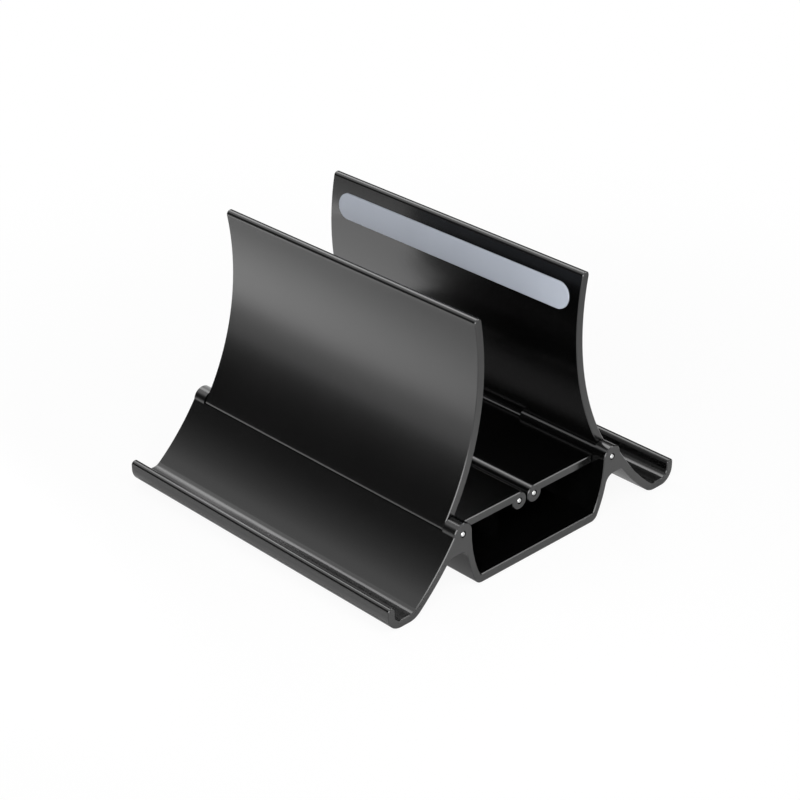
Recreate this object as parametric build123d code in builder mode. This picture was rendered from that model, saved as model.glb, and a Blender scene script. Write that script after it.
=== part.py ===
from build123d import *
import os
from math import asin, atan2, cos, degrees, radians, sin, sqrt, tan

# Vertical laptop stand, in millimetres. X runs along the hinges, Y from front to back, Z up.
# A laptop's edge presses the two floor panels down, and the jaws that they carry swing in and hold it.
# Sections are drawn on a plane across the hinges, with the distance out from the middle and the height.

# Base moulding
base_length = 150.0
floor_thickness = 3.8
wall_thickness = 3.1
wall_flare = 5.15  # how far each trough wall leans out between the floor and the hinge
wing_thickness = 3.4
wing_lift = 0.3  # lowest line of a wing above the table
ledge_flat = 5.8  # flat bottom of the ledge for a phone, from the wing's sweep to its curl
curl_radius = 3.3  # inside of the upturned lip
lip_height = 10.6
hinge_web = 7.9  # solid depth from the hinge axis to the arch under it
bottom_round = 4.0
arch_round = 4.0
arch_corner = 1.2  # between the arch and the wing's underside
ear_blend = 3.0  # between the ear and the wing's top
ledge_round = 5.0
lip_round = 1.6
trough_round = 0.8
edge_chamfer = 0.3
groove_chamfer = 0.3  # on the wing's upper edge, along the jaw's root

# Hinges
hinge_spacing = 82.9
hinge_height = 26.4
ear_width = 6.3
ear_proud = 0.56  # ear's skin outside the sweep of the jaw and the wing
hinge_pin_diameter = 2.0
pin_engagement = 34.0  # length of a pin inside the jaw's barrel
pin_chamfer = 0.25  # on the ends of the pins and rods
relief_width = 0.35  # dark ring moulded around the end of each pin and rod
relief_depth = 0.6

# Jaws: the outer face and the wing below it lie on one sweep, a large circle on each side
sweep_radius = 105.0
waist_height = 85.2  # height at which the jaws come closest
stand_height = 107.7
jaw_thickness = 3.5
panel_thickness = 3.45
panel_drop = 0.25  # panel's top below the hinge axis
root_step = 0.44  # root of the jaw below the panel's underside
barrel_step = 0.94  # raised barrel smaller than the root
barrel_length = 40.0
corner_round = 2.0
jaw_top_round = 1.65
swing = 18.0  # degrees, from open to closed

# Eyes and rods along the panels' inner edges
eye_radius = 3.75
eye_gap = 0.7  # between the two eyes at rest
rod_diameter = 2.0

# Link on the two rods
link_width = 20.0
link_radius = 2.3

# Silicone grip pads on the jaws
pad_width = 11.0
pad_inset = 5.05  # pad's end from the jaw's end
pad_drop = 11.8  # pad's middle below the jaw's top
pad_recess = 0.9
pad_proud = 0.5
pad_round = 0.3

# Silicone feet under the trough
foot_width = 9.0
foot_inset = 15.0  # foot's end from the base's end
foot_edge = 2.0  # foot's side from the rounded corner of the trough
foot_proud = 0.8
foot_recess = 1.0
foot_chamfer = 0.3

# Return springs between the trough's floor and the panels
spring_spacing = 70.0
spring_arm = 27.4  # from the hinge axis
spring_radius = 4.0
spring_wire = 0.6
spring_turns = 5
spring_flats = 5  # facets around the wire
cup_height = 2.0
cup_wall = 1.4

# Clearances
end_gap = 0.3  # jaw's end from the ear
root_gap = 0.3  # jaw's root and panel from the base
running_gap = 0.05  # around a pin or rod on which a piece turns
held_gap = 0.02  # around a pin or rod that is held fast
seat_gap = 0.05  # around silicone in its recess, and over a spring
cup_gap = 0.25  # around a spring in its cup
link_gap = 0.3
stop_gap = 0.1  # rod from the ends of the link's slot, at the limits of the swing

# Places that follow from the sizes above
hinge_y = hinge_spacing / 2
hinge = (hinge_y, hinge_height)
pin_radius = hinge_pin_diameter / 2
rod_radius = rod_diameter / 2
root_radius = panel_drop + panel_thickness + root_step
ear_radius = root_radius + ear_proud
barrel_radius = root_radius - barrel_step
jaw_length = base_length - 2 * (ear_width + end_gap)
panel_top = hinge_height - panel_drop
panel_under = panel_top - panel_thickness
rod = (eye_radius + eye_gap / 2, panel_top - eye_radius)
sweep_rise = waist_height - hinge_height
sweep_reach = sweep_radius + root_radius
sweep_run = sqrt(sweep_reach**2 - sweep_rise**2)
sweep_centre = (hinge_y + sweep_run, waist_height)
sweep_tilt = degrees(atan2(sweep_rise, sweep_run))
root_touch = waist_height - sweep_radius * sin(radians(sweep_tilt))
inner_radius = sweep_radius + jaw_thickness
under_radius = sweep_radius + wing_thickness
trough_floor = foot_proud + floor_thickness
wall_rise = hinge_height - trough_floor
wall_radius = (wall_flare**2 + wall_rise**2) / (2 * wall_flare)
wall_centre = (hinge_y - ear_radius - wall_radius, hinge_height)
wall_skin = wall_radius + wall_thickness
trough_half = hinge_y - ear_radius - wall_flare
arch_height = hinge_height - hinge_web
ledge_floor = wing_lift + wing_thickness


def sweep_angle(radius, height):
    """Angle about the sweep's centre of the point at this height, on the side towards the middle."""
    return 180 + degrees(asin((waist_height - height) / radius))


def sweep_out(radius, height):
    """Distance out from the middle of that point."""
    return sweep_centre[0] + radius * cos(radians(sweep_angle(radius, height)))


def wall_angle(radius, height):
    """Angle about the trough wall's centre of the point at this height."""
    return degrees(asin((height - hinge_height) / radius))


def sweep_arc(radius, start, end):
    """Stretch of a circle about the sweep's centre, from one height to another."""
    first = sweep_angle(radius, start)
    return CenterArc(sweep_centre, radius, first, sweep_angle(radius, end) - first)


def wall_arc(radius, start, end):
    """Stretch of a circle about the trough wall's centre, from one height to another."""
    first = wall_angle(radius, start)
    return CenterArc(wall_centre, radius, first, wall_angle(radius, end) - first)


def sweep_crossing(radius):
    """Point below the hinge at which a circle of this radius about the hinge axis crosses the sweep."""
    along = (radius**2 - sweep_radius**2 + sweep_reach**2) / (2 * sweep_reach)
    across = sqrt(radius**2 - along**2)
    out = hinge_y + along * cos(radians(sweep_tilt)) + across * sin(radians(sweep_tilt))
    height = hinge_height + along * sin(radians(sweep_tilt)) - across * cos(radians(sweep_tilt))
    return (out, height)


curl_centre = (sweep_out(sweep_radius, ledge_floor) + ledge_flat, ledge_floor + curl_radius)
lip_inside = curl_centre[0] + curl_radius
lip_outside = lip_inside + wing_thickness
ear_foot = sweep_crossing(ear_radius)
groove_radius = root_radius + root_gap
groove_edge = sweep_crossing(groove_radius)
groove_top = hinge_height + 2 * ear_radius
ear_inside = base_length / 2 - ear_width
panel_clear = panel_drop + panel_thickness + root_gap
path_root = (
    hinge_y + panel_clear * sin(radians(swing)),
    hinge_height - panel_clear * cos(radians(swing)),
)
path_end = (trough_half, path_root[1] - (path_root[0] - trough_half) * tan(radians(swing)))
foot_length = base_length - 2 * foot_inset
bottom_out = wall_centre[0] + wall_skin * cos(radians(wall_angle(wall_skin, foot_proud)))
foot_y = bottom_out - bottom_round - foot_edge - foot_width / 2
spring_y = hinge_y - spring_arm
cup_inside = spring_radius + spring_wire / 2 + cup_gap
rod_arm = sqrt((hinge_y - rod[0]) ** 2 + (hinge_height - rod[1]) ** 2)
rod_tilt = degrees(atan2(hinge_height - rod[1], hinge_y - rod[0]))
rod_spread = 2 * (hinge_y - rod[0] - rod_arm * cos(radians(rod_tilt + swing)))
slot_travel = rod_spread + 2 * stop_gap
link_roof = rod[1] + link_radius + link_gap
pad_length = jaw_length - 2 * pad_inset
pad_angle = sweep_angle(inner_radius, stand_height - pad_drop)

# Each side's section plane has its first axis pointing out from the middle and its second pointing up
sides = {
    "back": Plane((0, 0, 0), x_dir=(0, 1, 0), z_dir=(1, 0, 0)),
    "front": Plane((0, 0, 0), x_dir=(0, -1, 0), z_dir=(-1, 0, 0)),
}
outward = {"back": 1, "front": -1}
ends = {"left": -1, "right": 1}
link_reach = {
    "back": rod[0] + link_radius + link_gap,
    "front": rod[0] + slot_travel + link_radius + link_gap,
}

os.makedirs("parts", exist_ok=True)

# Base: trough, wings, lips and the ears for the hinges in one moulding
with BuildPart() as base:
    with BuildSketch(Plane.YZ) as section:
        with BuildLine():
            wall_face = wall_arc(wall_skin, foot_proud, arch_height)
            wing_under = sweep_arc(under_radius, arch_height, wing_lift)
            curl_outside = CenterArc(curl_centre, curl_radius + wing_thickness, -90, 90)
            curl_inside = CenterArc(curl_centre, curl_radius, 0, -90)
            wing_top = sweep_arc(sweep_radius, ledge_floor, ear_foot[1])
            foot_angle = degrees(atan2(ear_foot[1] - hinge_height, ear_foot[0] - hinge_y))
            ear = CenterArc(hinge, ear_radius, foot_angle, 180 - foot_angle)
            wall_inside = wall_arc(wall_radius, hinge_height, trough_floor)
            Line((0, foot_proud), wall_face @ 0)
            Line(wall_face @ 1, wing_under @ 0)
            Line(wing_under @ 1, curl_outside @ 0)
            Polyline(curl_outside @ 1, (lip_outside, lip_height), (lip_inside, lip_height), curl_inside @ 0)
            Line(curl_inside @ 1, wing_top @ 0)
            Polyline(wall_inside @ 1, (0, trough_floor), (0, foot_proud))
        make_face()
        corners = {
            wall_face @ 0: bottom_round,
            wall_face @ 1: arch_round,
            wing_under @ 0: arch_corner,
            wing_top @ 1: ear_blend,
            wing_under @ 1: ledge_round + wing_thickness,
            wing_top @ 0: ledge_round,
            Vector(lip_outside, lip_height): lip_round,
            Vector(lip_inside, lip_height): lip_round,
            wall_inside @ 1: trough_round,
        }
        for corner, corner_radius in corners.items():
            fillet(section.vertices().sort_by_distance(corner)[0], corner_radius)
        mirror(about=Plane.YZ)
    extrude(amount=base_length / 2, both=True)
    for end_face in (base.faces().sort_by(Axis.X)[0], base.faces().sort_by(Axis.X)[-1]):
        chamfer(end_face.edges(), edge_chamfer)
    # Between the ears, grooves for the jaws' roots and room for the panels to swing down
    with BuildSketch(Plane.YZ):
        with Locations(hinge):
            Circle(groove_radius)
        with BuildLine():
            room = [hinge, path_root, path_end, (trough_half, groove_top), (hinge_y, groove_top)]
            Polyline(room, close=True)
        make_face()
        with BuildLine():
            wing_edge = sweep_arc(sweep_radius, arch_height, groove_edge[1])
            above = [(hinge_y, groove_edge[1]), (hinge_y, groove_top), ((wing_edge @ 0).X, groove_top)]
            Polyline(wing_edge @ 1, *above, wing_edge @ 0)
        make_face()
        mirror(about=Plane.YZ)
    extrude(amount=ear_inside, both=True, mode=Mode.SUBTRACT)
    for y_side in outward.values():
        wing_edge_middle = (0, y_side * groove_edge[0], groove_edge[1])
        chamfer(base.edges().filter_by(Axis.X).sort_by_distance(wing_edge_middle)[0], groove_chamfer)
    for x_side in ends.values():
        for y_side in outward.values():
            mouth = (x_side * base_length / 2, y_side * hinge_y, hinge_height)
            with Locations(Plane(mouth, z_dir=(x_side, 0, 0))):
                CounterBoreHole(pin_radius + held_gap, pin_radius + relief_width, relief_depth, ear_width)
    with BuildSketch(Plane.XY.offset(trough_floor)):
        with GridLocations(spring_spacing, 2 * spring_y, 2, 2):
            Circle(cup_inside + cup_wall)
            Circle(cup_inside, mode=Mode.SUBTRACT)
    extrude(amount=cup_height)
    with BuildSketch(Plane.XY.offset(foot_proud)):
        with GridLocations(0, 2 * foot_y, 1, 2):
            SlotOverall(foot_length + 2 * seat_gap, foot_width + 2 * seat_gap)
    extrude(amount=foot_recess, mode=Mode.SUBTRACT)
base.part.label = "base"
export_step(base.part, "parts/base.step")

for side, plane in sides.items():
    # Jaw: curved plate, hinge root and barrels, floor panel and eye in one moulding
    with BuildPart() as jaw:
        with BuildSketch(plane) as section:
            with BuildLine():
                inside = sweep_arc(inner_radius, stand_height, panel_top)
                eye_end = degrees(asin((panel_under - rod[1]) / eye_radius))
                eye = CenterArc(rod, eye_radius, 90, 270 + eye_end)
                root_start = 180 + degrees(asin((hinge_height - panel_under) / root_radius))
                root = CenterArc(hinge, root_radius, root_start, 360 + sweep_tilt - root_start)
                outside = sweep_arc(sweep_radius, root_touch, stand_height)
                Line(inside @ 1, eye @ 0)
                Line(eye @ 1, root @ 0)
                Line(outside @ 1, inside @ 0)
            make_face()
            fillet(section.vertices().sort_by_distance(inside @ 1)[0], corner_round)
            for corner in (inside @ 0, outside @ 1):
                fillet(section.vertices().sort_by_distance(corner)[0], jaw_top_round)
        extrude(amount=jaw_length / 2, both=True)
        for end_face in (jaw.faces().sort_by(Axis.X)[0], jaw.faces().sort_by(Axis.X)[-1]):
            chamfer(end_face.edges(), edge_chamfer)
        for x_side in ends.values():
            with BuildSketch(Plane.YZ.offset(x_side * (jaw_length / 2 - edge_chamfer))):
                with Locations((outward[side] * hinge_y, hinge_height)):
                    Circle(barrel_radius)
            extrude(amount=-x_side * (barrel_length - edge_chamfer))
        for x_side in ends.values():
            mouth = (x_side * jaw_length / 2, outward[side] * hinge_y, hinge_height)
            with Locations(Plane(mouth, z_dir=(x_side, 0, 0))):
                Hole(pin_radius + running_gap, pin_engagement + running_gap)
            mouth = (x_side * jaw_length / 2, outward[side] * rod[0], rod[1])
            with Locations(Plane(mouth, z_dir=(x_side, 0, 0))):
                eye_mouth = rod_radius + relief_width
                CounterBoreHole(rod_radius + held_gap, eye_mouth, relief_depth, jaw_length / 2)
        # Pocket for the link, open below, with a window between the eyes
        with BuildSketch(plane):
            with Locations((0, link_roof)):
                Rectangle(link_reach[side], link_roof, align=(Align.MIN, Align.MAX))
            Rectangle(rod[0], stand_height, align=(Align.MIN, Align.MIN))
        extrude(amount=link_width / 2 + link_gap, both=True, mode=Mode.SUBTRACT)
        pad_point = (
            0,
            outward[side] * (sweep_centre[0] + inner_radius * cos(radians(pad_angle))),
            sweep_centre[1] + inner_radius * sin(radians(pad_angle)),
        )
        pad_normal = (0, outward[side] * cos(radians(pad_angle)), sin(radians(pad_angle)))
        pad_plane = Plane(pad_point, x_dir=(1, 0, 0), z_dir=pad_normal)
        with BuildSketch(pad_plane.offset(-pad_recess)):
            SlotOverall(pad_length + 2 * seat_gap, pad_width + 2 * seat_gap)
        extrude(amount=pad_recess + pad_proud, mode=Mode.SUBTRACT)
    jaw.part.label = f"{side}_jaw"
    export_step(jaw.part, f"parts/{side}_jaw.step")

    # Grip pad: silicone strip in its recess on the jaw's inner face
    with BuildPart() as grip_pad:
        with BuildSketch(pad_plane.offset(-pad_recess)):
            SlotOverall(pad_length, pad_width)
        extrude(amount=pad_recess + pad_proud)
        fillet(grip_pad.faces().sort_by(Axis.Y)[0 if side == "back" else -1].edges(), pad_round)
    grip_pad.part.label = f"{side}_grip_pad"
    export_step(grip_pad.part, f"parts/{side}_grip_pad.step")

    # Steel rod through the eye
    with BuildPart() as link_rod:
        with BuildSketch(Plane.YZ):
            with Locations((outward[side] * rod[0], rod[1])):
                Circle(rod_radius)
        extrude(amount=jaw_length / 2, both=True)
        chamfer(link_rod.edges().filter_by(GeomType.CIRCLE), pin_chamfer)
    link_rod.part.label = f"{side}_link_rod"
    export_step(link_rod.part, f"parts/{side}_link_rod.step")

    # Steel hinge pins, one from each end, fast in the ears
    for end, x_side in ends.items():
        with BuildPart() as hinge_pin:
            with BuildSketch(Plane.YZ.offset(x_side * base_length / 2)):
                with Locations((outward[side] * hinge_y, hinge_height)):
                    Circle(pin_radius)
            extrude(amount=-x_side * (ear_width + end_gap + pin_engagement))
            chamfer(hinge_pin.edges().filter_by(GeomType.CIRCLE), pin_chamfer)
        hinge_pin.part.label = f"{side}_{end}_hinge_pin"
        export_step(hinge_pin.part, f"parts/{side}_{end}_hinge_pin.step")

    # Return springs, standing in their cups under the panel
    for end, x_side in ends.items():
        with BuildPart() as spring:
            with BuildLine() as coil:
                spring_foot = trough_floor + spring_wire / 2 + seat_gap
                spring_rise = panel_under - seat_gap - spring_wire / 2 - spring_foot
                spring_axis = (x_side * spring_spacing / 2, outward[side] * spring_y, spring_foot)
                Helix(spring_rise / spring_turns, spring_rise, spring_radius, center=spring_axis)
            with BuildSketch(Plane(coil.line @ 0, z_dir=coil.line % 0)):
                RegularPolygon(spring_wire / 2, spring_flats)
            sweep(path=coil.line, is_frenet=True)
        spring.part.label = f"{side}_{end}_spring"
        export_step(spring.part, f"parts/{side}_{end}_spring.step")

    # Silicone foot strip under the trough
    with BuildPart() as foot:
        with BuildSketch(Plane.XY):
            with Locations((0, outward[side] * foot_y)):
                SlotOverall(foot_length, foot_width)
        extrude(amount=foot_proud + foot_recess)
        chamfer(foot.faces().sort_by(Axis.Z)[0].edges(), foot_chamfer)
    foot.part.label = f"{side}_foot"
    export_step(foot.part, f"parts/{side}_foot.step")

# Link: turns on the back rod, with a slot in which the front rod slides as the panels spread
with BuildPart() as centre_link:
    with BuildSketch(Plane.YZ):
        with Locations((-slot_travel / 2, rod[1])):
            SlotCenterToCenter(2 * rod[0] + slot_travel, 2 * link_radius)
        with Locations(rod):
            Circle(rod_radius + running_gap, mode=Mode.SUBTRACT)
        with Locations((stop_gap - rod[0] - slot_travel / 2, rod[1])):
            SlotCenterToCenter(slot_travel, 2 * (rod_radius + running_gap), mode=Mode.SUBTRACT)
    extrude(amount=link_width / 2, both=True)
centre_link.part.label = "centre_link"
export_step(centre_link.part, "parts/centre_link.step")
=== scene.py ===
"""Looks of the vertical laptop stand: finishes, return springs and a plain studio around the CAD frame."""

import logging
from dataclasses import dataclass
from enum import Enum
from functools import cache
from math import cos, pi, radians, sin, tau

import bpy
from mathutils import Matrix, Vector


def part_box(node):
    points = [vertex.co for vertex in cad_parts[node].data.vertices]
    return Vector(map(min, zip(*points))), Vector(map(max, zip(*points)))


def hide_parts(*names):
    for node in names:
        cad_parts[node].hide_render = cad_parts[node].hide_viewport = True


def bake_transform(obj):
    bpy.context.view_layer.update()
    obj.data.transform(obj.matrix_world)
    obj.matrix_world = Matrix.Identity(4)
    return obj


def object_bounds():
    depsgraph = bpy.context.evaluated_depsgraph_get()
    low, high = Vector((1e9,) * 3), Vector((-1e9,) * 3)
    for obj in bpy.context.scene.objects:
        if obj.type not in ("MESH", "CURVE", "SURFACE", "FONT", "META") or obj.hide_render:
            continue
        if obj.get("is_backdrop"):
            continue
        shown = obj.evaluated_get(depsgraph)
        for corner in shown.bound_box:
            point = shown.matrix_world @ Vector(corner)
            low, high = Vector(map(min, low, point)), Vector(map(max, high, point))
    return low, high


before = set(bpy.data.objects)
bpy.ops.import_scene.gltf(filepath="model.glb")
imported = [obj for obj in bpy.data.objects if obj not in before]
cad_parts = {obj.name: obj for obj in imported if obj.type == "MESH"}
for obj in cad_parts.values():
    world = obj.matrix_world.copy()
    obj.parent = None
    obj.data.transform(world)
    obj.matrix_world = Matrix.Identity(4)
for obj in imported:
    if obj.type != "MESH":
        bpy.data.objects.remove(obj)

MM = 0.001  # metres in a millimetre
WHITE = "#ffffff"
MIX_FACTOR, MIX_A, MIX_B, MIX_RESULT = 0, 6, 7, 2  # colour sockets of a Mix node, whose names repeat
log = logging.getLogger("laptop_stand")


class Side(Enum):
    """The two like sides of the stand."""

    FRONT = "front"
    BACK = "back"


class End(Enum):
    """The two ends of the hinges."""

    LEFT = "left"
    RIGHT = "right"


class Body(Enum):
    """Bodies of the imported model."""

    BASE = "base"
    FRONT_JAW = "front_jaw"
    BACK_JAW = "back_jaw"


class Slot(Enum):
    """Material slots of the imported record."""

    SPRING_STEEL = "spring_steel"


class Use(Enum):
    """What a lamp is for: whether it lights surfaces, and whether reflections show it."""

    BOTH = (True, True)
    LIGHT = (True, False)
    REFLECTION = (False, True)


def linear(colour: str) -> tuple[float, float, float, float]:
    """Turn an sRGB hex value into the linear colour that a shader takes.

    Args:
        colour: Six hex digits after a hash.

    Returns:
        Linear red, green and blue, with an alpha of one.
    """
    shares = [int(colour[i : i + 2], 16) / 255 for i in (1, 3, 5)]
    # The sRGB curve is straight below its knee and a power above it
    red, green, blue = [s / 12.92 if s <= 0.04045 else ((s + 0.055) / 1.055) ** 2.4 for s in shares]
    return (red, green, blue, 1.0)


def per_mm(size: float) -> float:
    """Scale of a pattern on Object coordinates whose features are this many millimetres wide."""
    return 1 / (size * MM)


def add_node(
    tree: bpy.types.NodeTree,
    kind: str,
    values: dict[str | int, object] | None = None,
    links: dict[str | int, bpy.types.NodeSocket] | None = None,
    **settings: object,
) -> bpy.types.Node:
    """Add a node to a tree.

    Args:
        tree: Tree that gets the node.
        kind: Blender's name for the kind of node.
        values: Values of unlinked inputs, by name or number.
        links: Sockets that feed inputs, by name or number.
        settings: The node's own settings.

    Returns:
        The new node.
    """
    node = tree.nodes.new(kind)
    for name, value in settings.items():
        setattr(node, name, value)
    for name, value in (values or {}).items():
        node.inputs[name].default_value = value
    for name, socket in (links or {}).items():
        tree.links.new(socket, node.inputs[name])
    return node


def start_material(name: str) -> tuple[bpy.types.Material, bpy.types.NodeTree]:
    """Make a material with an empty tree.

    Args:
        name: What the material is and how its surface was made.

    Returns:
        The material and its tree.
    """
    material = bpy.data.materials.new(name)
    material.use_nodes = True
    material.node_tree.nodes.clear()
    return material, material.node_tree


@dataclass(frozen=True)
class Finish:
    """What every finish has: a fine relief, and a colour and gloss that drift slowly over the piece.

    Attributes:
        name: What the material is and how its surface was made.
        deep: Darker end of its colour.
        pale: Lighter end of its colour.
        roughness: Ends of its gloss.
        grain: Width of the relief's grain in mm, drawn coarser than it is so that it shows.
        depth: Height of the relief in mm.
        drift: Width in mm of the slow changes.
    """

    name: str
    deep: str
    pale: str
    roughness: tuple[float, float]
    grain: float
    depth: float
    drift: float

    def grain_scale(self) -> tuple[float, float, float]:
        """Scale of the grain along X, Y and Z."""
        return (per_mm(self.grain), per_mm(self.grain), per_mm(self.grain))

    def shader_values(self) -> dict[str, float]:
        """Values that are the same all over the surface."""
        return {}

    @cache
    def material(self) -> bpy.types.Material:
        """Build the material, once for all the pieces that have it.

        Returns:
            The material.
        """
        material, tree = start_material(self.name)
        place = add_node(tree, "ShaderNodeTexCoord").outputs["Object"]
        laid = add_node(tree, "ShaderNodeMapping", {"Scale": self.grain_scale()}, {"Vector": place})
        grain = add_node(tree, "ShaderNodeTexNoise", {"Scale": 1.0}, {"Vector": laid.outputs["Vector"]})
        drift = add_node(tree, "ShaderNodeTexNoise", {"Scale": per_mm(self.drift)}, {"Vector": place})
        relief = add_node(
            tree, "ShaderNodeBump", {"Distance": self.depth * MM}, {"Height": grain.outputs["Fac"]}
        )
        tone = add_node(
            tree,
            "ShaderNodeMix",
            {MIX_A: linear(self.deep), MIX_B: linear(self.pale)},
            {MIX_FACTOR: drift.outputs["Fac"]},
            data_type="RGBA",
        )
        smooth, rough = self.roughness
        gloss = add_node(
            tree, "ShaderNodeMapRange", {"To Min": smooth, "To Max": rough}, {"Value": drift.outputs["Fac"]}
        )
        shader = add_node(
            tree,
            "ShaderNodeBsdfPrincipled",
            self.shader_values(),
            {
                "Base Color": tone.outputs[MIX_RESULT],
                "Roughness": gloss.outputs["Result"],
                "Normal": relief.outputs["Normal"],
            },
        )
        add_node(tree, "ShaderNodeOutputMaterial", links={"Surface": shader.outputs["BSDF"]})
        return material


@dataclass(frozen=True)
class MouldedPlastic(Finish):
    """Plastic from a finely spark-eroded mould: an even satin that softens every reflection.

    Attributes:
        ior: Its index of refraction.
        specular: Strength of its reflection, where one half is that of the index alone.
    """

    ior: float
    specular: float

    def shader_values(self) -> dict[str, float]:
        """Values that are the same all over the surface."""
        return {"IOR": self.ior, "Specular IOR Level": self.specular}


@dataclass(frozen=True)
class PressedSilicone(Finish):
    """Silicone pressed in a blasted mould: soft, matt and slightly milky, with a low broad sheen.

    Attributes:
        ior: Its index of refraction.
        sheen: Strength of the sheen.
        sheen_roughness: Breadth of the sheen.
    """

    ior: float = 1.41
    sheen: float = 0.08
    sheen_roughness: float = 0.5

    def shader_values(self) -> dict[str, float]:
        """Values that are the same all over the surface."""
        return {"IOR": self.ior, "Sheen Weight": self.sheen, "Sheen Roughness": self.sheen_roughness}


@dataclass(frozen=True)
class FinishedSteel(Finish):
    """Bright steel whose last step left fine lines along the piece, which streak its reflections.

    Attributes:
        run: Length of a line in mm, along X.
    """

    run: float

    def grain_scale(self) -> tuple[float, float, float]:
        """Scale of the lines along X, Y and Z."""
        return (per_mm(self.run), per_mm(self.grain), per_mm(self.grain))

    def shader_values(self) -> dict[str, float]:
        """Values that are the same all over the surface."""
        return {"Metallic": 1.0}


# Satin black ABS: near black by itself, so that what it mirrors gives it all its tones
BLACK_ABS = MouldedPlastic(
    name="moulded_abs_satin_black",
    deep="#030303",
    pale="#050505",
    roughness=(0.17, 0.21),
    grain=0.5,
    depth=0.002,
    drift=24.0,
    ior=1.54,
    specular=0.75,
)

# Acetal link: a slippery plastic, a little greyer and waxier than the mouldings around it
BLACK_ACETAL = MouldedPlastic(
    name="moulded_acetal_black",
    deep="#141414",
    pale="#1a1a1a",
    roughness=(0.42, 0.5),
    grain=0.6,
    depth=0.004,
    drift=9.0,
    ior=1.48,
    specular=0.5,
)

# Pale blue-grey silicone of the grip pads, matt enough to look the same from every side
PAD_SILICONE = PressedSilicone(
    name="pressed_silicone_blue_grey",
    deep="#acb2bd",
    pale="#b3b9c4",
    roughness=(0.48, 0.54),
    grain=0.5,
    depth=0.006,
    drift=14.0,
)

# Dark silicone of the foot strips
FOOT_SILICONE = PressedSilicone(
    name="pressed_silicone_dark_grey",
    deep="#26272a",
    pale="#2d2e31",
    roughness=(0.58, 0.66),
    grain=0.5,
    depth=0.01,
    drift=10.0,
)

# Centreless-ground pins and rods: bright, with short fine lines
GROUND_STEEL = FinishedSteel(
    name="ground_steel_bright",
    deep="#d2d3d2",
    pale="#e8e8e8",
    roughness=(0.2, 0.3),
    grain=0.25,
    depth=0.002,
    drift=3.0,
    run=2.0,
)

# Drawn spring wire: darker, with a trace of the die's oil
SPRING_WIRE = FinishedSteel(
    name="drawn_spring_wire",
    deep="#8d8f91",
    pale="#a9abac",
    roughness=(0.26, 0.36),
    grain=0.2,
    depth=0.003,
    drift=2.0,
    run=0.6,
)


def dress_node(node: str, finish: Finish) -> None:
    """Give a CAD node its finish.

    Args:
        node: Name of the node.
        finish: Finish of all its faces.
    """
    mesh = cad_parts[node].data
    mesh.materials.clear()
    mesh.materials.append(finish.material())
    log.info("%s: %s", node, finish.name)


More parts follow.
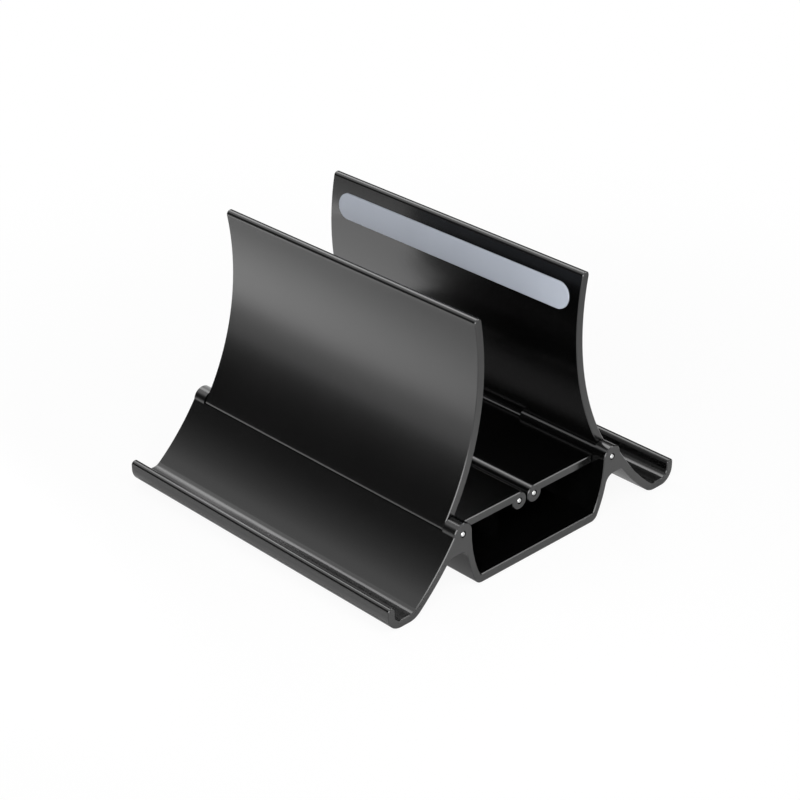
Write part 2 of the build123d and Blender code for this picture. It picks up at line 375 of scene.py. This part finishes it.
@cache
def spring_winding() -> bpy.types.NodeTree:
    """Build the tree that winds a wire up a vertical axis, with closed turns at both ends.

    Returns:
        A geometry tree with named inputs.
    """
    tree = bpy.data.node_groups.new("spring_winding", "GeometryNodeTree")
    inputs = {
        "Coil Radius": "NodeSocketFloat",
        "Wire Radius": "NodeSocketFloat",
        "Turns": "NodeSocketFloat",
        "Closed Turns": "NodeSocketFloat",
        "Closed Height": "NodeSocketFloat",
        "Open Height": "NodeSocketFloat",
        "Foot": "NodeSocketVector",
        "Points": "NodeSocketInt",
        "Facets": "NodeSocketInt",
        "Finish": "NodeSocketMaterial",
    }
    for name, kind in inputs.items():
        tree.interface.new_socket(name, in_out="INPUT", socket_type=kind)
    tree.interface.new_socket("Geometry", in_out="OUTPUT", socket_type="NodeSocketGeometry")
    sizes = add_node(tree, "NodeGroupInput").outputs
    line = add_node(tree, "GeometryNodeCurvePrimitiveLine").outputs["Curve"]
    points = add_node(tree, "GeometryNodeResampleCurve", links={"Curve": line, "Count": sizes["Points"]})
    share = add_node(tree, "GeometryNodeSplineParameter").outputs["Factor"]
    turn = add_node(tree, "ShaderNodeMath", links={0: share, 1: sizes["Turns"]}, operation="MULTIPLY")
    angle = add_node(tree, "ShaderNodeMath", {1: tau}, {0: turn.outputs[0]}, operation="MULTIPLY")
    last = add_node(
        tree, "ShaderNodeMath", links={0: sizes["Turns"], 1: sizes["Closed Turns"]}, operation="SUBTRACT"
    ).outputs[0]
    # The wire lies closed for the first turns, opens, and lies closed again for the last
    rises = [
        {"From Max": sizes["Closed Turns"], "To Max": sizes["Closed Height"]},
        {"From Min": sizes["Closed Turns"], "From Max": last, "To Max": sizes["Open Height"]},
        {"From Min": last, "From Max": sizes["Turns"], "To Max": sizes["Closed Height"]},
    ]
    height = sizes["Wire Radius"]
    for rise in rises:
        step = add_node(tree, "ShaderNodeMapRange", links={"Value": turn.outputs[0], **rise})
        height = add_node(
            tree, "ShaderNodeMath", links={0: height, 1: step.outputs["Result"]}, operation="ADD"
        ).outputs[0]
    spoke = add_node(tree, "ShaderNodeCombineXYZ", links={"X": sizes["Coil Radius"], "Z": height})
    turned = add_node(
        tree,
        "ShaderNodeVectorRotate",
        links={"Vector": spoke.outputs["Vector"], "Angle": angle.outputs[0]},
        rotation_type="Z_AXIS",
    )
    place = add_node(
        tree, "ShaderNodeVectorMath", links={0: turned.outputs["Vector"], 1: sizes["Foot"]}, operation="ADD"
    )
    coil = add_node(
        tree,
        "GeometryNodeSetPosition",
        links={"Geometry": points.outputs["Curve"], "Position": place.outputs[0]},
    )
    section = add_node(
        tree,
        "GeometryNodeCurvePrimitiveCircle",
        links={"Resolution": sizes["Facets"], "Radius": sizes["Wire Radius"]},
    )
    wire = add_node(
        tree,
        "GeometryNodeCurveToMesh",
        {"Fill Caps": True},
        {"Curve": coil.outputs["Geometry"], "Profile Curve": section.outputs["Curve"]},
    )
    smooth = add_node(tree, "GeometryNodeSetShadeSmooth", links={"Geometry": wire.outputs["Mesh"]})
    real = add_node(tree, "GeometryNodeRealizeInstances", links={"Geometry": smooth.outputs["Geometry"]})
    dressed = add_node(
        tree,
        "GeometryNodeSetMaterial",
        links={"Geometry": real.outputs["Geometry"], "Material": sizes["Finish"]},
    )
    add_node(tree, "NodeGroupOutput", links={"Geometry": dressed.outputs["Geometry"]})
    return tree


@dataclass
class ReturnSpring:
    """Compression spring with closed ends, on an upright axis between the trough and a panel.

    Attributes:
        side: Side of the stand whose panel it lifts.
        end: End of the hinges that it stands at.
        wire: Diameter of the wire.
        active_turns: Turns that give way.
        closed_turns: Turns that lie closed at each end.
        steps: Points along one turn.
        facets: Facets around the wire.
    """

    side: Side
    end: End
    wire: float = 0.6 * MM
    active_turns: float = 5.0
    closed_turns: float = 1.25
    steps: int = 28
    facets: int = 10

    @property
    def node(self) -> str:
        """Name of the CAD node that the spring stands for."""
        return f"{self.side.value}_{self.end.value}_spring"

    @property
    def panel_body(self) -> Body:
        """Body whose panel lies on the spring's upper end."""
        return Body[f"{self.side.name}_JAW"]

    def wind(self) -> bpy.types.Mesh:
        """Wind the wire where its CAD node stands.

        Returns:
            A plain mesh.
        """
        low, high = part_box(self.node)
        middle = (low + high) / 2
        turns = self.active_turns + 2 * self.closed_turns
        closed_height = self.closed_turns * self.wire
        sizes = {
            "Coil Radius": (high.x - low.x - self.wire) / 2,
            "Wire Radius": self.wire / 2,
            "Turns": turns,
            "Closed Turns": self.closed_turns,
            "Closed Height": closed_height,
            "Open Height": high.z - low.z - self.wire - 2 * closed_height,
            "Foot": (middle.x, middle.y, low.z),
            "Points": round(turns * self.steps) + 1,
            "Facets": self.facets,
            "Finish": SPRING_WIRE.material(),
        }
        carrier = bpy.data.objects.new("spring_carrier", bpy.data.meshes.new("spring_carrier"))
        bpy.context.scene.collection.objects.link(carrier)
        modifier = carrier.modifiers.new("winding", "NODES")
        modifier.node_group = spring_winding()
        for item in modifier.node_group.interface.items_tree:
            if item.in_out == "INPUT":
                modifier[item.identifier] = sizes[item.name]
        graph = bpy.context.evaluated_depsgraph_get()
        mesh = bpy.data.meshes.new_from_object(carrier.evaluated_get(graph), depsgraph=graph)
        carrier.modifiers.remove(modifier)
        bpy.data.objects.remove(carrier)
        return mesh

    def build(self) -> None:
        """Stand the spring in its cup, with its lower end on the base and its upper end under the panel."""
        piece = bpy.data.objects.new(f"{self.node}_wire", self.wind())
        bpy.context.scene.collection.objects.link(piece)
        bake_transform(piece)
        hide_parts(self.node)
        log.info("%s: %s, %d faces", piece.name, SPRING_WIRE.name, len(piece.data.polygons))


@dataclass
class BaseAssembly:
    """Trough with its wings, hinge pins, foot strips and return springs.

    Attributes:
        moulding: Finish of the trough and its wings.
        pin: Finish of the hinge pins.
        foot: Finish of the foot strips.
    """

    moulding: Finish = BLACK_ABS
    pin: Finish = GROUND_STEEL
    foot: Finish = FOOT_SILICONE

    def dress(self) -> None:
        """Dress the moulding, the feet and the pins."""
        dress_node("base", self.moulding)
        for side in Side:
            dress_node(f"{side.value}_foot", self.foot)
            for end in End:
                dress_node(f"{side.value}_{end.value}_hinge_pin", self.pin)

    def build(self) -> None:
        """Wind a spring for each end of each panel."""
        for side in Side:
            for end in End:
                ReturnSpring(side, end).build()


@dataclass
class JawAssembly:
    """Jaw with its floor panel in one moulding, the grip pad on it and the rod through its eye.

    Attributes:
        side: Side of the stand that it is on.
        moulding: Finish of the jaw and its panel.
        pad: Finish of the grip pad.
        rod: Finish of the rod.
    """

    side: Side
    moulding: Finish = BLACK_ABS
    pad: Finish = PAD_SILICONE
    rod: Finish = GROUND_STEEL

    def dress(self) -> None:
        """Dress the moulding, the pad and the rod."""
        dress_node(f"{self.side.value}_jaw", self.moulding)
        dress_node(f"{self.side.value}_grip_pad", self.pad)
        dress_node(f"{self.side.value}_link_rod", self.rod)


@dataclass
class CentreLink:
    """Link that makes the two jaws move together.

    Attributes:
        moulding: Its finish.
    """

    moulding: Finish = BLACK_ACETAL

    def dress(self) -> None:
        """Dress the link."""
        dress_node("centre_link", self.moulding)


@dataclass(frozen=True)
class Softbox:
    """Square lamp that shines at the middle of the stand.

    Attributes:
        name: Name of the lamp.
        place: Its place in metres.
        size: Length of its side in metres.
        watts: Its power.
        use: Whether it lights surfaces, shows in reflections, or both.
    """

    name: str
    place: tuple[float, float, float]
    size: float
    watts: float
    use: Use = Use.BOTH

    def hang(self) -> None:
        """Hang the lamp."""
        data = bpy.data.lights.new(self.name, "AREA")
        data.shape = "SQUARE"
        data.size = self.size
        data.energy = self.watts
        lamp = bpy.data.objects.new(self.name, data)
        lamp.location = self.place
        lamp.rotation_euler = (-Vector(self.place)).to_track_quat("-Z", "Y").to_euler()
        lamp.visible_camera = False
        lamp.visible_diffuse, lamp.visible_glossy = self.use.value
        bpy.context.scene.collection.objects.link(lamp)


@dataclass(frozen=True)
class FloorSpot:
    """Spot lamp for a soft pool of light on the floor, which the jaws mirror.

    Attributes:
        name: Name of the lamp.
        place: Its place in metres.
        centre: Middle of the pool in metres.
        angle: Width of its cone in degrees.
        watts: Its power.
        blend: Share of the cone over which the pool's edge fades.
        bulb: Radius of the lamp in metres.
    """

    name: str
    place: tuple[float, float, float]
    centre: tuple[float, float, float]
    angle: float
    watts: float
    blend: float = 1.0
    bulb: float = 20 * MM

    def hang(self) -> None:
        """Hang the lamp, which itself isn't mirrored."""
        data = bpy.data.lights.new(self.name, "SPOT")
        data.energy = self.watts
        data.spot_size = radians(self.angle)
        data.spot_blend = self.blend
        data.shadow_soft_size = self.bulb
        lamp = bpy.data.objects.new(self.name, data)
        lamp.location = self.place
        aim = Vector(self.centre) - Vector(self.place)
        lamp.rotation_euler = aim.to_track_quat("-Z", "Y").to_euler()
        lamp.visible_diffuse, lamp.visible_glossy = Use.LIGHT.value
        bpy.context.scene.collection.objects.link(lamp)


@dataclass
class Studio:
    """White room with a pale floor, soft lamps and a graded scrim around the stand, with lengths in metres.

    Attributes:
        azimuth: Direction of the camera around the stand, in degrees from the front.
        elevation: Height of the camera in degrees.
        eye: Place of the camera.
        lens: Focal length of the camera in mm.
        sensor: Width of its sensor in mm.
        clip_start: Nearest distance that it sees.
        ambient: Light of the white room on the stand.
        floor_size: Length of the floor's side.
        floor_tone: Colour of the floor where it is lit.
        floor_gap: Gap between the feet and the floor, so that their faces don't coincide.
        seen_white: Share of plain white in the floor as the camera sees it, beside what is lit.
        fade: Distances from the middle between which the floor turns wholly white to the camera.
        mirrored_white: Share of plain white in the floor as reflections see it.
        card_glow: Brightness of the white card under the stand, which only reflections see.
        end_glow: Brightness of the white card beside the jaws' left end, which only reflections see.
        end_card_gap: Gap between that card and the stand.
        end_card_depth: Front and back of that card.
        end_card_rise: Foot and top of that card.
        scrim_radius: Radius of the scrim, which only reflections see.
        scrim_height: Height of the scrim.
        scrim_sides: Flat sides that make it round.
        scrim_reach: Least distance in front or behind from which the scrim's angle is taken.
        scrim_tones: Brightness of the scrim, by share of the angle from the horizon to overhead.
        lamps: Lamps of the studio.
    """

    azimuth: float = 45.98
    elevation: float = 28.34
    eye: tuple[float, float, float] = (0.5510, -0.5338, 0.4517)
    lens: float = 98.57
    sensor: float = 36.0
    clip_start: float = 10 * MM
    ambient: float = 0.36
    floor_size: float = 8.0
    floor_tone: str = "#fafafa"
    floor_gap: float = 0.05 * MM
    seen_white: float = 0.93
    fade: tuple[float, float] = (0.1, 0.4)
    mirrored_white: float = 0.10
    card_glow: float = 0.4
    end_glow: float = 1.45
    end_card_gap: float = 10 * MM
    end_card_depth: tuple[float, float] = (-36 * MM, 18 * MM)
    end_card_rise: tuple[float, float] = (12 * MM, 80 * MM)
    scrim_radius: float = 1.0
    scrim_height: float = 1.1
    scrim_sides: int = 96
    scrim_reach: float = 0.45
    scrim_tones: tuple[tuple[float, float], ...] = (
        (0.0, 0.25),
        (0.10, 0.10),
        (0.21, 0.05),
        (0.365, 0.092),
        (0.48, 0.345),
        (0.61, 1.15),
        (0.86, 1.5),
    )
    lamps: tuple[Softbox | FloorSpot, ...] = (
        Softbox("overhead_softbox", place=(-0.80, 0.30, 0.95), size=0.7, watts=3.4),
        Softbox("back_edge_softbox", place=(0.55, 0.70, 0.74), size=0.4, watts=1.6, use=Use.REFLECTION),
        Softbox("front_softbox", place=(0.55, -1.05, 0.50), size=0.6, watts=7.5, use=Use.LIGHT),
        Softbox("side_softbox", place=(0.20, -0.07, 0.20), size=0.12, watts=0.25, use=Use.LIGHT),
        FloorSpot(
            "pool_spot", place=(-1.20, -0.178, 0.37), centre=(-0.19, -0.178, 0.0), angle=8.5, watts=205.0
        ),
        Softbox("front_edge_softbox", place=(0.66, -0.60, 0.15), size=0.6, watts=5.0, use=Use.REFLECTION),
    )

    def camera(self) -> None:
        """Set the camera where the photograph was taken from."""
        around, above = radians(self.azimuth), radians(self.elevation)
        forward = Vector((-sin(around) * cos(above), cos(around) * cos(above), -sin(above)))
        data = bpy.data.cameras.new("photo_camera")
        data.lens = self.lens
        data.sensor_width = self.sensor
        data.clip_start = self.clip_start
        camera = bpy.data.objects.new("photo_camera", data)
        camera.location = self.eye
        camera.rotation_euler = forward.to_track_quat("-Z", "Y").to_euler()
        bpy.context.scene.collection.objects.link(camera)
        bpy.context.scene.camera = camera

    def backdrop(self) -> None:
        """Make the world a white room, seen white and lighting softly."""
        world = bpy.data.worlds.new("white_room")
        bpy.context.scene.world = world
        world.use_nodes = True
        tree = world.node_tree
        tree.nodes.clear()
        path = add_node(tree, "ShaderNodeLightPath").outputs
        seen = path["Is Camera Ray"]
        for ray in ("Is Glossy Ray", "Is Transmission Ray"):
            seen = add_node(
                tree, "ShaderNodeMath", links={0: seen, 1: path[ray]}, operation="MAXIMUM"
            ).outputs[0]
        strength = add_node(tree, "ShaderNodeMapRange", {"To Min": self.ambient}, {"Value": seen})
        room = add_node(
            tree, "ShaderNodeBackground", {"Color": linear(WHITE)}, {"Strength": strength.outputs["Result"]}
        )
        add_node(tree, "ShaderNodeOutputWorld", links={"Surface": room.outputs["Background"]})

    def place_panel(self, name: str, mesh: bpy.types.Mesh, material: bpy.types.Material) -> bpy.types.Object:
        """Put a panel of the stage in the scene.

        Args:
            name: Name of the panel.
            mesh: Its shape.
            material: Its finish.

        Returns:
            The panel's object.
        """
        mesh.materials.append(material)
        panel = bpy.data.objects.new(name, mesh)
        bpy.context.scene.collection.objects.link(panel)
        panel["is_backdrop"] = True
        return panel

    def one_face(self, name: str, corners: list[tuple[float, float, float]]) -> bpy.types.Mesh:
        """Make a mesh of one face.

        Args:
            name: Name of the mesh.
            corners: Its four corners, in order around it.

        Returns:
            The mesh.
        """
        mesh = bpy.data.meshes.new(name)
        mesh.from_pydata(corners, [], [(0, 1, 2, 3)])
        return mesh

    def flat_mesh(self, name: str, half_length: float, half_depth: float, height: float) -> bpy.types.Mesh:
        """Make a level rectangle about the middle of the stand.

        Args:
            name: Name of the mesh.
            half_length: Half of its length, along X.
            half_depth: Half of its depth, along Y.
            height: Its height.

        Returns:
            The mesh.
        """
        signs = ((-1, -1), (1, -1), (1, 1), (-1, 1))
        return self.one_face(name, [(x * half_length, y * half_depth, height) for x, y in signs])

    def only_mirrored(self, panel: bpy.types.Object) -> None:
        """Hide a panel from all but reflections.

        Args:
            panel: The panel's object.
        """
        panel.visible_camera = False
        panel.visible_diffuse = False
        panel.visible_shadow = False

    def floor(self) -> None:
        """Lay the floor, white where it is seen or mirrored, with part of the stand's shadow."""
        material, tree = start_material("studio_floor_white")
        path = add_node(tree, "ShaderNodeLightPath").outputs
        lit = add_node(tree, "ShaderNodeBsdfDiffuse", {"Color": linear(self.floor_tone)})
        white = add_node(tree, "ShaderNodeEmission", {"Color": linear(WHITE), "Strength": 1.0})
        mirrored = add_node(
            tree,
            "ShaderNodeMath",
            links={0: path["Is Glossy Ray"], 1: path["Is Transmission Ray"]},
            operation="MAXIMUM",
        )
        place = add_node(tree, "ShaderNodeTexCoord").outputs["Object"]
        away = add_node(tree, "ShaderNodeVectorMath", links={0: place}, operation="LENGTH").outputs["Value"]
        start, end = self.fade
        fading = add_node(
            tree,
            "ShaderNodeMapRange",
            {"From Min": start, "From Max": end, "To Min": self.seen_white},
            {"Value": away},
            interpolation_type="SMOOTHSTEP",
        )
        seen = add_node(
            tree,
            "ShaderNodeMath",
            links={0: path["Is Camera Ray"], 1: fading.outputs["Result"]},
            operation="MULTIPLY",
        )
        share = add_node(
            tree,
            "ShaderNodeMath",
            {1: self.mirrored_white},
            {0: mirrored.outputs[0], 2: seen.outputs[0]},
            operation="MULTIPLY_ADD",
        )
        mixed = add_node(
            tree,
            "ShaderNodeMixShader",
            links={0: share.outputs[0], 1: lit.outputs["BSDF"], 2: white.outputs["Emission"]},
        )
        add_node(tree, "ShaderNodeOutputMaterial", links={"Surface": mixed.outputs["Shader"]})
        half = self.floor_size / 2
        mesh = self.flat_mesh("studio_floor", half, half, -self.floor_gap)
        self.place_panel("studio_floor", mesh, material)

    def card_material(self, name: str, strength: float) -> bpy.types.Material:
        """Make the material of a white card that glows evenly.

        Args:
            name: Name of the material.
            strength: Brightness of the card.

        Returns:
            The material.
        """
        material, tree = start_material(name)
        glow = add_node(tree, "ShaderNodeEmission", {"Color": linear(WHITE), "Strength": strength})
        add_node(tree, "ShaderNodeOutputMaterial", links={"Surface": glow.outputs["Emission"]})
        return material

    def card(self) -> None:
        """Lay a white card on the floor under the stand, which lifts the shade under its wings."""
        material = self.card_material("bounce_card_white", self.card_glow)
        low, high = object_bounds()
        mesh = self.flat_mesh("bounce_card", high.x, high.y, low.z - self.floor_gap / 2)
        self.only_mirrored(self.place_panel("bounce_card", mesh, material))

    def end_card(self) -> None:
        """Stand a white card beside the left end of the jaws, which their inner faces mirror."""
        material = self.card_material("end_card_white", self.end_glow)
        low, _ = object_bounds()
        aside = low.x - self.end_card_gap
        front, back = self.end_card_depth
        foot, top = self.end_card_rise
        corners = [(aside, front, foot), (aside, back, foot), (aside, back, top), (aside, front, top)]
        mesh = self.one_face("end_card", corners)
        self.only_mirrored(self.place_panel("end_card", mesh, material))

    def scrim(self) -> None:
        """Stand a round scrim, graded by the angle across the stand, which only reflections see."""
        material, tree = start_material("scrim_graded_cloth")
        place = add_node(tree, "ShaderNodeTexCoord").outputs["Object"]
        along = add_node(tree, "ShaderNodeSeparateXYZ", links={"Vector": place}).outputs
        aside = add_node(tree, "ShaderNodeMath", links={0: along["Y"]}, operation="ABSOLUTE").outputs[0]
        reach = add_node(
            tree, "ShaderNodeMath", {1: self.scrim_reach}, {0: aside}, operation="MAXIMUM"
        ).outputs[0]
        angle = add_node(
            tree, "ShaderNodeMath", links={0: along["Z"], 1: reach}, operation="ARCTAN2"
        ).outputs[0]
        share = add_node(tree, "ShaderNodeMapRange", {"From Max": pi / 2}, {"Value": angle})
        grade = add_node(tree, "ShaderNodeValToRGB", links={"Fac": share.outputs["Result"]})
        stops = grade.color_ramp.elements
        while len(stops) < len(self.scrim_tones):
            stops.new(1.0)
        for stop, (place_share, tone) in zip(stops, self.scrim_tones):
            stop.position = place_share
            stop.color = (tone, tone, tone, 1.0)
        glow = add_node(tree, "ShaderNodeEmission", {"Strength": 1.0}, {"Color": grade.outputs["Color"]})
        add_node(tree, "ShaderNodeOutputMaterial", links={"Surface": glow.outputs["Emission"]})
        sides = self.scrim_sides
        turns = [tau * i / sides for i in range(sides)]
        corners = [
            (self.scrim_radius * cos(turn), self.scrim_radius * sin(turn), z)
            for z in (0.0, self.scrim_height)
            for turn in turns
        ]
        faces = [(i, (i + 1) % sides, sides + (i + 1) % sides, sides + i) for i in range(sides)]
        mesh = bpy.data.meshes.new("studio_scrim")
        mesh.from_pydata(corners, [], faces)
        self.only_mirrored(self.place_panel("studio_scrim", mesh, material))

    def build(self) -> None:
        """Build the whole studio."""
        bpy.context.scene.view_settings.view_transform = "Standard"
        self.camera()
        self.backdrop()
        self.floor()
        self.card()
        self.end_card()
        self.scrim()
        for lamp in self.lamps:
            lamp.hang()


def main() -> None:
    """Dress the stand, wind its springs and set it in the studio."""
    logging.basicConfig(level=logging.INFO, format="%(name)s: %(message)s")
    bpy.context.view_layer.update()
    base = BaseAssembly()
    base.dress()
    base.build()
    for side in Side:
        JawAssembly(side).dress()
    CentreLink().dress()
    Studio().build()


if __name__ == "__main__":
    main()
